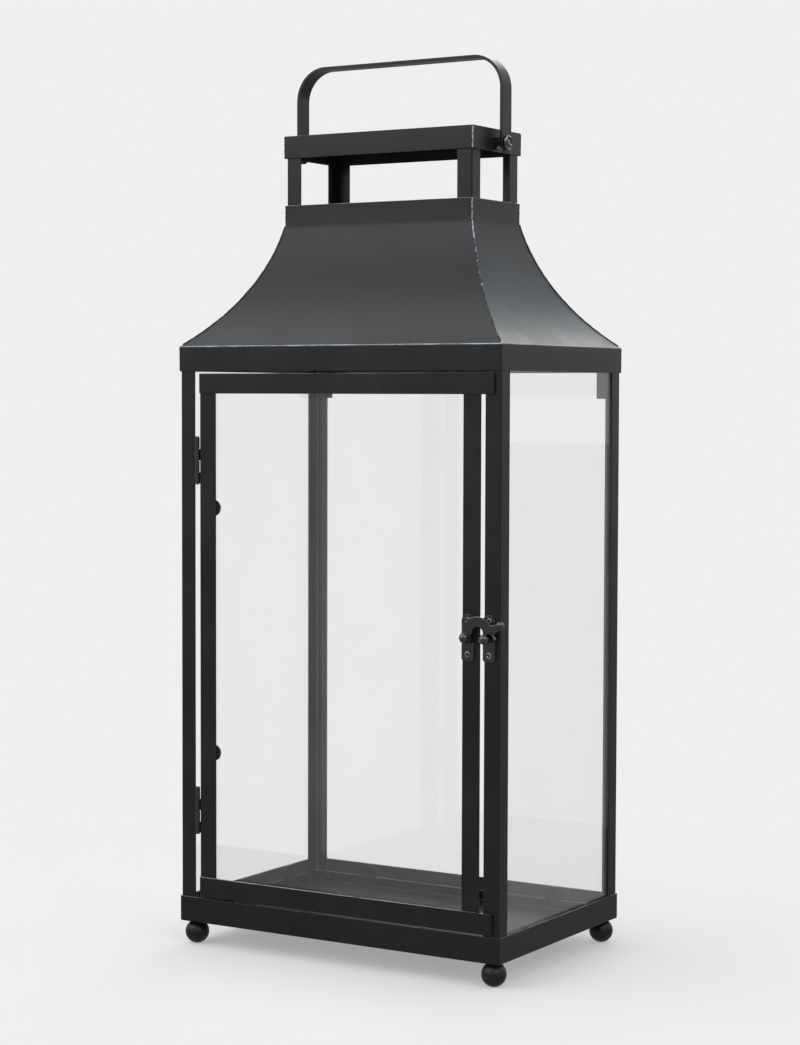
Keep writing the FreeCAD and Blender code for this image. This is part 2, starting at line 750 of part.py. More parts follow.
def hinge_leaf(label, side, seat, rows, level):
    """Leaf with its knuckles: side is -1 for the post's and 1 for the door's, and seat is the
    forward place of the surface that the leaf lies behind."""
    body = new_body(label)
    edge = "(hinge_side_gap / 2)"
    front = f"(-({HINGE_FRONT} - {seat}))"
    inner = f"{side} * {edge}"
    outer = f"{side} * ({edge} + leaf_width)"
    plate = rectangle(inner, outer, "0", "hinge_height")
    pad(body, "plate", "XZ_Plane", [plate], f"({front} - leaf_gauge)", "leaf_gauge")
    pitch = f"(hinge_height / {KNUCKLES})"
    for row in rows:
        low = f"({row} * {pitch} + knuckle_clearance / 2)"
        high = f"({row + 1} * {pitch} - knuckle_clearance / 2)"
        bridge = rectangle("0", inner, low, high)
        pad(body, f"bridge_{row}", "XZ_Plane", [bridge], f"({front} - leaf_gauge)", "leaf_gauge")
        ring = [("0", "0", "barrel_radius"), ("0", "0", "(hinge_pin_radius + running_clearance)")]
        pad(body, f"knuckle_{row}", "XY_Plane", ring, low, f"{pitch} - knuckle_clearance")
    place(body, f"-{HINGE_OUT}", f"-{HINGE_FRONT}", level)


def hinge_pin(label, level):
    body = new_body(label)
    lower_seat = "(-axial_clearance)"
    upper_seat = "(hinge_height + axial_clearance)"
    corners = [
        ("0", f"({lower_seat} - hinge_pin_head_height)"),
        ("hinge_pin_head_radius", f"({lower_seat} - hinge_pin_head_height)"),
        ("hinge_pin_head_radius", lower_seat),
        ("hinge_pin_radius", lower_seat),
        ("hinge_pin_radius", upper_seat),
        ("hinge_pin_head_radius", upper_seat),
        ("hinge_pin_head_radius", f"({upper_seat} + hinge_pin_head_height)"),
        ("0", f"({upper_seat} + hinge_pin_head_height)"),
    ]
    turned(body, "pin", "XZ_Plane", "V_Axis", corners)
    place(body, f"-{HINGE_OUT}", f"-{HINGE_FRONT}", level)


def hinges():
    post_seat = f"({POST_Y} - angle_gauge)"
    for name, level in (("upper", UPPER_HINGE), ("lower", LOWER_HINGE)):
        hinge_leaf(f"hinge_leaf_post_{name}", -1, post_seat, (1, 3), level)
        hinge_leaf(f"hinge_leaf_door_{name}", 1, STILE_BACK, (0, 2), level)
        hinge_pin(f"hinge_pin_{name}", level)


# ---------------------------------------------------------------------------------------------
# Latch
# ---------------------------------------------------------------------------------------------


def latch_plate(label, across, face):
    """Plate with a round top and two rounded bottom corners, with its holes."""
    body = new_body(label)
    half = "(latch_plate_width / 2)"
    end = "(latch_plate_length / 2)"
    shoulder = f"({end} - {half})"
    foot = f"({end} - latch_plate_corner)"
    toe = f"({half} - latch_plate_corner)"
    edge = [
        (half, f"-{foot}"),
        (half, shoulder, half, 1),
        ("0", end, half, 1),
        (f"-{half}", shoulder),
        (f"-{half}", f"-{foot}", "latch_plate_corner", 1),
        (f"-{toe}", f"-{end}"),
        (toe, f"-{end}", "latch_plate_corner", 1),
    ]
    pad(body, "plate", "XZ_Plane", [edge] + latch_holes("0", "0"), face, "latch_plate_gauge")
    place(body, across, up=LATCH)


def latch_rivets(label, across, face, back):
    body = new_body(label)
    seat = f"-({face} + latch_plate_gauge)"
    crown = f"({seat} - latch_rivet_head_height)"
    crown_radius = dome("latch_rivet_head_radius", "latch_rivet_head_height")
    corners = [
        ("0", f"-{back}"),
        ("0", crown, crown_radius, 1),
        ("latch_rivet_head_radius", seat),
        ("latch_rivet_radius", seat),
        ("latch_rivet_radius", f"-{back}"),
    ]
    for name, sign in (("upper", 1), ("lower", -1)):
        level = f"({LATCH} + {sign} * latch_rivet_reach)"
        turned(body, name, "XY_Plane", "V_Axis", corners, across=across, out=level)


def latch_stud(label, across, face, back, head, neck):
    """Stud with a ball head centred at head, its neck through the plate and a peened tail. neck
    lists the radius and forward place of each step from the plate to the ball, which ends the
    last one."""
    body = new_body(label)
    seat = f"-({face} + latch_plate_gauge)"
    tail = f"-({back} - stud_tail_height)"
    last_radius = neck[-1][0]
    meets = f"-({head} - sqrt(knob_radius ^ 2 - {last_radius} ^ 2))"
    corners = [("0", tail), ("0", f"-({head} + knob_radius)", "knob_radius", 1)]
    corners += [("knob_radius", f"-{head}", "knob_radius", 1), (last_radius, meets)]
    previous = last_radius
    for radius, forward in reversed(neck[:-1]):
        corners += [(previous, f"-{forward}"), (radius, f"-{forward}")]
        previous = radius
    corners += [(previous, seat), ("stud_radius", seat), ("stud_radius", f"-{back}")]
    corners += [("stud_tail_radius", f"-{back}"), ("stud_tail_radius", tail)]
    turned(body, "stud", "XY_Plane", "V_Axis", corners, across=across, out=LATCH)


def latch_hook():
    """Flat hook drawn about its eye: an arch over the gap, a jaw down behind the catch and a tail
    that ends in a ball. The notch stands clear of the catch, so the door can swing under it."""
    body = new_body("latch_hook")
    span = f"({CATCH_STUD_X} - {PIVOT_STUD_X})"
    centre = "hook_arch_out"
    outer = "hook_outer_radius"
    inner = "hook_inner_radius"
    lift = "hook_arch_lift"
    eye = [("0", "0", "hook_eye_radius")]
    pad(body, "eye", "XZ_Plane", eye, HOOK_BACK, "hook_gauge")
    notch_radius = "(knob_radius + hook_notch_clearance)"
    notch_x = f"({span} + hook_notch_shift)"
    notch_z = "(-(hook_notch_clearance - hook_rest_gap))"
    arch = [
        (f"({centre} - {outer})", "0"),
        (f"({centre} - {outer})", lift, outer, -1),
        (centre, f"({lift} + {outer})", outer, -1),
        (f"({centre} + {outer})", lift, "hook_jaw_radius", -1),
        (f"({notch_x} + hook_jaw_radius)", notch_z),
        (notch_x, notch_z),
        (f"({centre} + {inner})", lift, inner, 1),
        (centre, f"({lift} + {inner})", inner, 1),
        (f"({centre} - {inner})", lift),
        ("(hook_eye_radius * 0.7)", "0"),
    ]
    pad(body, "arch_and_jaw", "XZ_Plane", [arch], HOOK_BACK, "hook_gauge")
    tip_x = f"({span} + hook_tail_out)"
    # the tail starts well inside the jaw and the arch, so that their outlines cross cleanly
    sunk = "(hook_tail_width / 2)"
    lean = "hook_tail_lean"
    root_x = f"({notch_x} + (hook_jaw_radius - {sunk}) * cos({lean}))"
    root_z = f"({notch_z} + (hook_jaw_radius - {sunk}) * sin({lean}))"
    neck_x = f"({centre} + ({outer} - {sunk}) * cos({lean}))"
    neck_z = f"({lift} + ({outer} - {sunk}) * sin({lean}))"
    tail = [
        (root_x, root_z, "hook_tail_sweep", 1),
        (tip_x, "(hook_tail_up - hook_tail_width / 2)"),
        (tip_x, "(hook_tail_up + hook_tail_width / 2)", "hook_tail_sweep", -1),
        (neck_x, neck_z),
    ]
    pad(body, "tail", "XZ_Plane", [tail], HOOK_BACK, "hook_gauge")
    middle = f"(-({HOOK_BACK} + hook_gauge / 2))"
    ball = [
        ("0", f"({middle} - hook_tail_radius)", "hook_tail_radius", 1),
        ("hook_tail_radius", middle, "hook_tail_radius", 1),
        ("0", f"({middle} + hook_tail_radius)"),
    ]
    turned(body, "ball", "XY_Plane", "V_Axis", ball, across=tip_x, out="hook_tail_up")
    bores = [
        ("0", "0", "(stud_radius + running_clearance)"),
        (notch_x, notch_z, notch_radius),
    ]
    cut(body, "bore_and_notch", "XZ_Plane", bores, HOOK_BACK, "hook_gauge")
    place(body, PIVOT_STUD_X, up=LATCH)


def latch():
    post_back = f"({POST_Y} - angle_gauge)"
    collar_end = f"({HOOK_BACK} - axial_clearance)"
    pivot_neck = [
        ("stud_collar_radius", collar_end),
        ("stud_radius", PIVOT_SEAT),
        ("pivot_head_seat", PIVOT_HEAD),
    ]
    catch_neck = [("catch_waist_radius", CATCH_HEAD)]
    latch_plate("latch_plate_door", PIVOT_STUD_X, STILE_FRONT)
    latch_plate("latch_plate_post", CATCH_STUD_X, POST_Y)
    latch_stud("latch_pivot_stud", PIVOT_STUD_X, STILE_FRONT, STILE_BACK, PIVOT_HEAD, pivot_neck)
    latch_stud("latch_catch_stud", CATCH_STUD_X, POST_Y, post_back, CATCH_HEAD, catch_neck)
    latch_rivets("latch_rivets_door", PIVOT_STUD_X, STILE_FRONT, STILE_BACK)
    latch_rivets("latch_rivets_post", CATCH_STUD_X, POST_Y, post_back)
    latch_hook()


# ---------------------------------------------------------------------------------------------
# The whole lantern
# ---------------------------------------------------------------------------------------------

base_tray()
for name, side, end, turn in CORNERS:
    foot(f"foot_{name}", side, end)
foot_screws()
corner_posts()

half_length = "(base_length / 2)"
half_depth = "(base_depth / 2)"
roof_panel("roof_panel_front", half_depth, half_length, 0)
roof_panel("roof_panel_right", half_length, half_depth, 90)
roof_panel("roof_panel_rear", half_depth, half_length, 180)
roof_panel("roof_panel_left", half_length, half_depth, 270)
vent_posts()
cap_lid()

handle_strap()
for name, turn in (("right", 0), ("left", 180)):
    handle_spacer(f"handle_spacer_{name}", turn)
    handle_rivet(f"handle_rivet_{name}", turn)

side_pane = f"({POST_Y} - angle_gauge - pane_clearance)"
rear_pane = f"({POST_X} - angle_gauge - glass_gauge - pane_clearance)"
pane("glass_right", half_length, side_pane, 90)
pane("glass_rear", half_depth, rear_pane, 180)
pane("glass_left", half_length, side_pane, 270)
side_tab = f"({FASCIA} + side_tab_rise)"
rear_tab = f"({FASCIA} - rear_tab_drop)"
pane_clips("clips_right", half_length, half_depth, "side_clip_place", side_tab, 90)
pane_clips("clips_rear", half_depth, half_length, "rear_clip_place", rear_tab, 180)
pane_clips("clips_left", half_length, half_depth, "side_clip_place", side_tab, 270)

door_stiles()
door_rail("door_rail_bottom", DOOR_BOTTOM, 1)
door_rail("door_rail_top", DOOR_TOP, -1)
door_glass()
clips_door()
hinges()
latch()

# ---------------------------------------------------------------------------------------------
# Checks, then one file for each sub-part
# ---------------------------------------------------------------------------------------------

doc.recompute()
for item in doc.Objects:
    if "Invalid" in item.State or "Error" in item.State:
        raise RuntimeError(f"{item.Name} did not rebuild: {item.State}")
    if item.isDerivedFrom("PartDesign::Pocket"):
        removed = item.BaseFeature.Shape.Volume - item.Shape.Volume
        if removed <= 0:
            raise RuntimeError(f"{item.Name} removes nothing")

for part in parts:
    if part.Shape.isNull() or not part.Shape.isValid():
        raise RuntimeError(f"{part.Label} has no sound shape")
for part in parts:
    part.Shape.exportStep(f"parts/{part.Label}.step")
print(len(parts), "sub-parts")
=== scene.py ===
# %% [markdown]
# # A black candle lantern, dressed for its picture
# The lantern is a box of angle iron and glass under a bell-cast tin roof, with a hooked door and a
# strap handle. Its measured model is loaded first and never moved. This notebook then gives it what
# a plain model lacks: rolled edges, soldered seams, dished rivets, a cast hook, worn paint and glass.
# The worn paint on edges, rims and solder is partly a painted highlight.

# %% Load the measured model
import json
import math

import bmesh
import bpy
from mathutils import Euler, Matrix, Vector

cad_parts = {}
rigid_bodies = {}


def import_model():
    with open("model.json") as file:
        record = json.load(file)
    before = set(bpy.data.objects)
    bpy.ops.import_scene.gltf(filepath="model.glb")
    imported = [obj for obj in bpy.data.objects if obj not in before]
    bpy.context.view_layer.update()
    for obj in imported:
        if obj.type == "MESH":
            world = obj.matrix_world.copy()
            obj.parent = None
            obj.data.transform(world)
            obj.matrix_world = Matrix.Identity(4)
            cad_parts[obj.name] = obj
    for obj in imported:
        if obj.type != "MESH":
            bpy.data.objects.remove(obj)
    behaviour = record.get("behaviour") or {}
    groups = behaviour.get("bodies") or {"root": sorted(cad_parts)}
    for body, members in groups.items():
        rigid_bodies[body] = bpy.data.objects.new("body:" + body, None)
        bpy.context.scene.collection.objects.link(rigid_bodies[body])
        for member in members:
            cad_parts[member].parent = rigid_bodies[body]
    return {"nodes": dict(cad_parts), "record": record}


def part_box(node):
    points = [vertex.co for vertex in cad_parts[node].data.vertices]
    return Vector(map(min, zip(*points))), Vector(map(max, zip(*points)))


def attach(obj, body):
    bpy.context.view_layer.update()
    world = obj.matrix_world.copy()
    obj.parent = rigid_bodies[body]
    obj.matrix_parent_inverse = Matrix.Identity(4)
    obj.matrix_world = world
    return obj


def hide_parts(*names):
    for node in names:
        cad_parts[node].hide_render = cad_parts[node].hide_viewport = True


for leftover in list(bpy.data.objects):
    bpy.data.objects.remove(leftover)
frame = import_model()
bpy.ops.object.select_all(action="DESELECT")
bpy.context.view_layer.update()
MM = 0.001

# %% [markdown]
# ## The camera
# The picture was taken with a long lens from a little above half the lantern's height, looking at
# its front right corner. A long lens keeps uprights parallel. The camera is placed by its distance,
# its turn about the upright and its small downward tilt, so each number has a plain meaning.

# %% Camera
CAMERA_PLACE = (0.82528, -1.34100, 0.35950)
CAMERA_TURN = 31.6258
CAMERA_DIP = 3.0032
CAMERA_ROLL = 0.1634
LENS = 108.50

scene = bpy.context.scene
bpy.ops.object.camera_add(location=CAMERA_PLACE)
camera = bpy.context.object
level = Euler((math.radians(90 - CAMERA_DIP), 0, math.radians(CAMERA_TURN))).to_matrix()
camera.rotation_euler = (level @ Matrix.Rotation(math.radians(CAMERA_ROLL), 3, "Z")).to_euler()
camera.data.lens = LENS
camera.data.sensor_width = 36
camera.data.sensor_fit = "HORIZONTAL"
camera.data.clip_start = 0.05
scene.camera = camera
scene.view_settings.view_transform = "Standard"
print("camera", [round(v, 3) for v in camera.location], "lens", LENS)

# %% [markdown]
# ## Writing shader sums as plain Python
# A node tree is easier to read as a formula. A small class wraps one socket, so that `1 - mask` adds
# a Math node by itself. One method makes every other kind of node from its settings and sockets.

# %% A socket that does sums, and a tree that makes nodes
class Value:
    """One socket of a node tree. A sum or product of values adds a Math node."""

    def __init__(self, tree, socket):
        self.tree = tree
        self.socket = socket

    def sum(self, operation, first, second):
        return self.tree.node("ShaderNodeMath", {"operation": operation}, {0: first, 1: second})

    def __add__(self, other):
        return self.sum("ADD", self, other)

    def __radd__(self, other):
        return self.sum("ADD", other, self)

    def __sub__(self, other):
        return self.sum("SUBTRACT", self, other)

    def __rsub__(self, other):
        return self.sum("SUBTRACT", other, self)

    def __mul__(self, other):
        return self.sum("MULTIPLY", self, other)

    def __rmul__(self, other):
        return self.sum("MULTIPLY", other, self)

    def larger(self, other):
        return self.sum("MAXIMUM", self, other)

    def step(self, low, high):
        """0 below low, 1 above high and smooth between, or the other way round."""
        ends = {"Value": self, "From Min": low, "From Max": high}
        return self.tree.node("ShaderNodeMapRange", {"interpolation_type": "SMOOTHSTEP"}, ends)


class Tree:
    """A node tree, of a material or of the world."""

    def __init__(self, tree):
        self.tree = tree
        tree.nodes.clear()

    def node(self, kind, settings, sockets, output=0):
        made = self.tree.nodes.new(kind)
        for name, setting in settings.items():
            setattr(made, name, setting)
        for key, given in sockets.items():
            if isinstance(given, Value):
                self.tree.links.new(given.socket, made.inputs[key])
            else:
                made.inputs[key].default_value = given
        return Value(self, made.outputs[output])

    def place(self):
        """Where a point is on the lantern, in metres."""
        return self.node("ShaderNodeTexCoord", {}, {}, "Object")

    def axis(self, name):
        """One coordinate of that place."""
        return self.node("ShaderNodeSeparateXYZ", {}, {"Vector": self.place()}, name)

    def noise(self, size, detail=2.0, rough=0.5):
        """Cloudy noise whose blots are about size across."""
        sockets = {"Vector": self.place(), "Scale": 1 / size, "Detail": detail, "Roughness": rough}
        return self.node("ShaderNodeTexNoise", {}, sockets, "Fac")

    def blend(self, factor, first, second):
        """The first colour where factor is 0, and the second where it is 1."""
        colours = {0: factor, 6: first, 7: second}
        return self.node("ShaderNodeMix", {"data_type": "RGBA"}, colours, 2)

    def bump(self, height, depth, below=None):
        """A normal that stands up to depth metres proud where height is 1."""
        sockets = {"Height": height, "Distance": depth, "Strength": 1.0}
        if below:
            sockets["Normal"] = below
        return self.node("ShaderNodeBump", {}, sockets)

    def either(self, factor, first, second):
        """The first shader where factor is 0, and the second where it is 1."""
        return self.node("ShaderNodeMixShader", {}, {0: factor, 1: first, 2: second})

    def show(self, shader, kind="ShaderNodeOutputMaterial"):
        self.tree.links.new(shader.socket, self.tree.nodes.new(kind).inputs["Surface"])


def grey(level):
    """A neutral colour."""
    return (level, level, level, 1.0)


def new_finish(name):
    """An empty material and its tree."""
    material = bpy.data.materials.new(name)
    material.use_nodes = True
    return material, Tree(material.node_tree)


print("shader helpers ready")

# %% [markdown]
# ## The studio
# Black paint shows its surroundings more than its own colour. In the picture the backdrop behind the
# lantern is pale, the ceiling is bright and the room on the camera's side is dim, so upright faces
# that look back at the camera are nearly black while the roof, seen at a slant, turns grey. Only
# gloss sees that room, a little blue as in the picture. Everything else gets an even light.

# %% Backdrop, room and even light
BACKDROP = 0.863
EVEN_LIGHT = 0.62
FRONT_ROOM = (0.27, 0.30, 0.33, 1)
CEILING = (0.88, 0.95, 1.0, 1)
WALL_TURN = 0.55

world = bpy.data.worlds.new("studio")
scene.world = world
world.use_nodes = True
sky = Tree(world.node_tree)
ray = "ShaderNodeLightPath"
seen = sky.node(ray, {}, {}, "Is Camera Ray").larger(sky.node(ray, {}, {}, "Is Transmission Ray"))
toward = sky.node("ShaderNodeTexCoord", {}, {}, "Generated")
right, back, up = (sky.node("ShaderNodeSeparateXYZ", {}, {"Vector": toward}, a) for a in "XYZ")
wall = (back - right * WALL_TURN).step(-0.4, 1.0)
room = sky.blend(wall, FRONT_ROOM, grey(BACKDROP))
room = sky.blend(up.step(0.10, 0.55), room, CEILING)
light = sky.blend(sky.node(ray, {}, {}, "Is Glossy Ray"), grey(EVEN_LIGHT), room)
colour = sky.blend(seen, light, grey(BACKDROP))
sky.show(sky.node("ShaderNodeBackground", {}, {"Color": colour}), "ShaderNodeOutputWorld")
print("backdrop", BACKDROP, "even light", EVEN_LIGHT)

# %% [markdown]
# The floor is one large pale sheet. Near the lantern it is plain matt stuff that takes a soft
# shadow, and further off it becomes exactly the backdrop, so that no horizon crosses the glass.
# Gloss sees it darker, which is why the lantern's foot is blacker than its top.

# %% Floor
FLOOR_SIZE = 30
FLOOR_COLOUR = 0.95
FLOOR_IN_GLOSS = 0.28
SHADOW_NEAR = 0.12
SHADOW_FAR = 0.55
SHADOW_KEPT = 0.62
FLOOR_BELOW = 0.2 * MM

bpy.ops.mesh.primitive_plane_add(size=FLOOR_SIZE, location=(0, 0, -FLOOR_BELOW))
floor = bpy.context.object
floor.name = "studio_floor"
floor_finish, tree = new_finish("studio_floor")
across = tree.node("ShaderNodeVectorMath", {"operation": "LENGTH"}, {0: tree.place()}, "Value")
matt = tree.node("ShaderNodeBsdfDiffuse", {}, {"Color": grey(FLOOR_COLOUR)})
glow = tree.node("ShaderNodeEmission", {}, {"Color": grey(BACKDROP)})
dim = tree.node("ShaderNodeEmission", {}, {"Color": grey(FLOOR_IN_GLOSS)})
far = across.step(SHADOW_NEAR, SHADOW_FAR) * SHADOW_KEPT + (1 - SHADOW_KEPT)
plain = tree.either(far, matt, glow)
glossy = tree.node(ray, {}, {}, "Is Glossy Ray")
through_glass = tree.node(ray, {}, {}, "Is Transmission Ray")
tree.show(tree.either(glossy * (1 - through_glass), plain, dim))
floor.data.materials.append(floor_finish)
print("floor", FLOOR_SIZE, "m")

# %% [markdown]
# Four soft boxes: a broad weak one overhead, a large one at the left front that stops just above the
# roof's foot, so it brightens collar and cap but not the tray, and one behind that rolls along the
# concave right side of the roof. A small one at the right only puts a spark on the knobs, balls and
# rivets.

# %% Lamps
def soft_box(name, place, target, size, power):
    """A square lamp that faces the target: its size is in metres and its power in watts."""
    bpy.ops.object.light_add(type="AREA", location=place)
    lamp = bpy.context.object
    lamp.name = name
    lamp.data.size = size
    lamp.data.energy = power
    lamp.rotation_euler = (Vector(target) - Vector(place)).to_track_quat("-Z", "Y").to_euler()
    return lamp


soft_box("overhead", (-0.80, -0.15, 2.1), (0, 0, 0.2), 1.2, 5)
soft_box("left_front", (-0.90, -1.45, 1.20), (0, 0, 0.45), 1.2, 8)
soft_box("left_back", (-0.60, 2.15, 1.35), (0, 0, 0.4), 1.1, 11)
soft_box("right_spark", (1.30, -0.75, 1.10), (0, 0, 0.25), 0.45, 3)

# %% [markdown]
# ## Black paint on sheet iron
# The paint is a thin satin black. Up close it has the fine orange peel of sprayed paint, over sheet
# that was beaten flat by hand and still shows it as slow waves. Dust and handling make it a little
# greyer and duller in blots. Colour, dullness and bump each come from noise of their own size.

# %% Paint
BEATEN_WAVE = 55 * MM
DUST_BLOT = 38 * MM
SMEAR = 5 * MM
SPECK = 1.1 * MM
PEEL_GRAIN = 0.9 * MM
COAT_DULLNESS = 0.08


def painted(name, colour, dusty, dull, shine, wave, peel=0.010, coat=0.0):
    """Paint: colour, dusty shade, roughness, mirror strength, depth of waves and peel, clear coat."""
    material, tree = new_finish(name)
    blots = tree.noise(DUST_BLOT, 4.0, 0.6).step(0.35, 0.75)
    specks = tree.noise(SPECK, 2.0, 0.5).step(0.66, 0.74)
    tone = tree.blend(blots * 0.6 + specks * 0.35, colour, dusty)
    rough = dull + blots * 0.07 + tree.noise(SMEAR, 3.0) * 0.06
    slow = tree.bump(tree.noise(BEATEN_WAVE, 1.0), wave * MM)
    skin = tree.bump(tree.noise(PEEL_GRAIN, 2.0), peel * MM, slow)
    sockets = {"Base Color": tone, "Roughness": rough, "Specular IOR Level": shine, "Normal": skin}
    sockets |= {"Coat Weight": coat, "Coat Roughness": COAT_DULLNESS}
    tree.show(tree.node("ShaderNodeBsdfPrincipled", {}, sockets))
    return material


OUTSIDE_BLACK, OUTSIDE_DUST = (0.0070, 0.0078, 0.0088, 1), (0.014, 0.015, 0.017, 1)
INSIDE_BLACK, INSIDE_DUST = (0.006, 0.007, 0.0075, 1), (0.020, 0.024, 0.025, 1)
paint = painted("black_paint", OUTSIDE_BLACK, OUTSIDE_DUST, 0.31, 0.34, 0.35)
tray_paint = painted("tray_floor_paint", INSIDE_BLACK, INSIDE_DUST, 0.50, 0.09, 1.2)
print("made", paint.name, tray_paint.name)

# %% [markdown]
# Paint is thinnest on an edge. Every bend and cut edge of the sheet gets this second finish: the
# same black, a little lighter, rubbed to grey in broken lengths, with bare metal here and there.
# That lighter grey is partly wear and partly a painted highlight along the edges. Edges that face
# upwards are made lighter still, a painted highlight of the light from above as much as wear, so
# the grey also follows the normal's upward part.

# %% Rubbed paint for the edges
LONG_RUB = 14 * MM
FINE_RUB = 1.6 * MM
RUB_FADE = 0.16


def worn_and_highlit_edge_finish(name, colour, bare_and_highlight, share, dull):
    """Paint on an edge, partly a painted highlight: grey and bare metal show where coarse and fine noise
    and an upward normal add up, over a share of it.
    """
    material, tree = new_finish(name)
    long_rubs = tree.noise(LONG_RUB, 2.0)
    fine_rubs = tree.noise(FINE_RUB, 3.0, 0.7)
    normal = tree.node("ShaderNodeNewGeometry", {}, {}, "Normal")
    # Edges that face up get more grey and bare metal: partly wear, partly a painted highlight of the
    # light from above.
    upward_wear_and_highlight = tree.node("ShaderNodeSeparateXYZ", {}, {"Vector": normal}, "Z").step(0.05, 0.65)
    rubs_and_highlight = long_rubs * 0.5 + fine_rubs * 0.3 + upward_wear_and_highlight * 0.34
    worn_and_highlit = rubs_and_highlight.step(1 - share, 1 - share + RUB_FADE)
    tone = tree.blend(worn_and_highlit, colour, bare_and_highlight)
    sockets = {"Base Color": tone, "Roughness": dull - worn_and_highlit * 0.08, "Metallic": worn_and_highlit * 0.7}
    sockets["Normal"] = tree.bump(fine_rubs, 0.02 * MM)
    tree.show(tree.node("ShaderNodeBsdfPrincipled", {}, sockets))
    return material


# Edge and rim colours are lighter than the body's black: partly wear, partly a painted highlight.
EDGE_BLACK_AND_HIGHLIGHT, EDGE_BARE_AND_HIGHLIGHT = (0.010, 0.0105, 0.0115, 1), (0.34, 0.35, 0.36, 1)
RIM_GREY_AND_HIGHLIGHT, RIM_BARE_AND_HIGHLIGHT = (0.05, 0.05, 0.052, 1), (0.45, 0.45, 0.46, 1)
edge_wear_and_highlight = worn_and_highlit_edge_finish("edge_wear_and_painted_highlight", EDGE_BLACK_AND_HIGHLIGHT, EDGE_BARE_AND_HIGHLIGHT, 0.42, 0.34)
rim_wear_and_highlight = worn_and_highlit_edge_finish("rivet_rim_wear_and_painted_highlight", RIM_GREY_AND_HIGHLIGHT, RIM_BARE_AND_HIGHLIGHT, 0.62, 0.30)
print("made", edge_wear_and_highlight.name, rim_wear_and_highlight.name)

# %% [markdown]
# The latch, hinges, rivets and ball feet are small turned or stamped pieces with thicker, glossier
# enamel. The screws that hold the feet are blackened steel, a little browner and metallic.

# %% Enamel and blackened steel
ENAMEL_BLACK, ENAMEL_DUST = (0.006, 0.006, 0.0065, 1), (0.012, 0.012, 0.012, 1)
enamel = painted("black_enamel", ENAMEL_BLACK, ENAMEL_DUST, 0.13, 0.9, 0.02, 0.006, 0.6)

steel, tree = new_finish("blackened_steel")
stain = tree.noise(2.5 * MM, 3.0, 0.6)
tone = tree.blend(stain.step(0.4, 0.7), (0.030, 0.028, 0.026, 1), (0.075, 0.066, 0.058, 1))
sockets = {"Base Color": tone, "Metallic": 0.8, "Roughness": stain * 0.25 + 0.25}
sockets["Normal"] = tree.bump(tree.noise(0.6 * MM), 0.01 * MM)
tree.show(tree.node("ShaderNodeBsdfPrincipled", {}, sockets))
print("made", enamel.name, steel.name)

# %% [markdown]
# The roof's corners are run with solder. It was painted over, but it stands proud, so it rubs
# bare in places. Its brightness is partly wear and partly a painted highlight: it follows noise and
# height, and is strongest at the top of the front right corner, where the light runs down the hip.
# Bare and bright near the collar, it turns black again down the hip.

# %% Solder
WEAR_AND_HIGHLIGHT_LOW = 0.425
WEAR_AND_HIGHLIGHT_HIGH = 0.470
SOLDER_LUMP = 2.2 * MM
PAINTED_OVER, BARE_SOLDER_AND_HIGHLIGHT = (0.012, 0.012, 0.013, 1), (0.42, 0.43, 0.45, 1)

solder, tree = new_finish("rubbed_solder")
lumps = tree.noise(SOLDER_LUMP, 3.0, 0.65)
# Painted highlight as well as wear: height and side raise the bright, bare solder near the collar and on
# the front right corner.
height = tree.axis("Z").step(WEAR_AND_HIGHLIGHT_LOW, WEAR_AND_HIGHLIGHT_HIGH)
side = tree.axis("X").step(0, 20 * MM) * tree.axis("Y").step(0, -10 * MM)
bare_and_highlight = (lumps + height * 0.15 * side + side * 0.05).step(0.60, 0.72)
tone = tree.blend(bare_and_highlight, PAINTED_OVER, BARE_SOLDER_AND_HIGHLIGHT)
sockets = {"Base Color": tone, "Metallic": bare_and_highlight * 0.85, "Roughness": 0.34 + lumps * 0.1}
sockets["Normal"] = tree.bump(lumps, 0.05 * MM)
tree.show(tree.node("ShaderNodeBsdfPrincipled", {}, sockets))
print("made", solder.name)

# %% [markdown]
# ## Window glass
# The panes are 2 mm float glass. It bends what is behind it hardly at all, and what shows is its
# gloss, a faint grey film of dust, and its greenish ground edges. Lamps pass straight through, so
# that the inside of the lantern isn't shaded by its own windows.

# %% Glass
FLOAT_GLASS = 1.46
FILM_BLOT = 60 * MM
POWDER = 0.55
LAMP_THROUGH = 0.95


def glass_finish(name, colour, dull, film):
    """Clear glass with a film of dust, which lets lamps through."""
    material, tree = new_finish(name)
    dust = tree.noise(FILM_BLOT, 4.0, 0.6).step(0.35, 0.8) * 0.5 + 0.5
    sockets = {"Base Color": colour, "Roughness": dull, "IOR": FLOAT_GLASS, "Transmission Weight": 1.0}
    clear = tree.node("ShaderNodeBsdfPrincipled", {}, sockets)
    powder = tree.node("ShaderNodeBsdfDiffuse", {}, {"Color": grey(POWDER)})
    dusty = tree.either(dust * film, clear, powder)
    through = tree.node("ShaderNodeBsdfTransparent", {}, {"Color": grey(LAMP_THROUGH)})
    shadow = tree.node("ShaderNodeLightPath", {}, {}, "Is Shadow Ray")
    tree.show(tree.either(shadow, dusty, through))
    return material


glass = glass_finish("clear_glass", (0.985, 0.992, 0.988, 1), 0.0, 0.02)
glass_edge = glass_finish("ground_glass_edge", (0.45, 0.62, 0.56, 1), 0.25, 0.25)
print("made", glass.name, glass_edge.name)

# %% [markdown]
# ## Working with the measured pieces
# A measured piece has knife-sharp edges, which never catch light. Rolling them by a third of a
# millimetre gives every sheet its bright line, and the lighter finish on the rolls paints part of
# that line in as a highlight. The piece itself stays as it is: its mesh is copied, its loose
# triangles are merged, and the copy is bevelled and stands in for it.

# %% Helpers for selecting and finishing
MERGE = 0.002 * MM
FLAT = math.radians(0.6)
CREASE = math.radians(34)


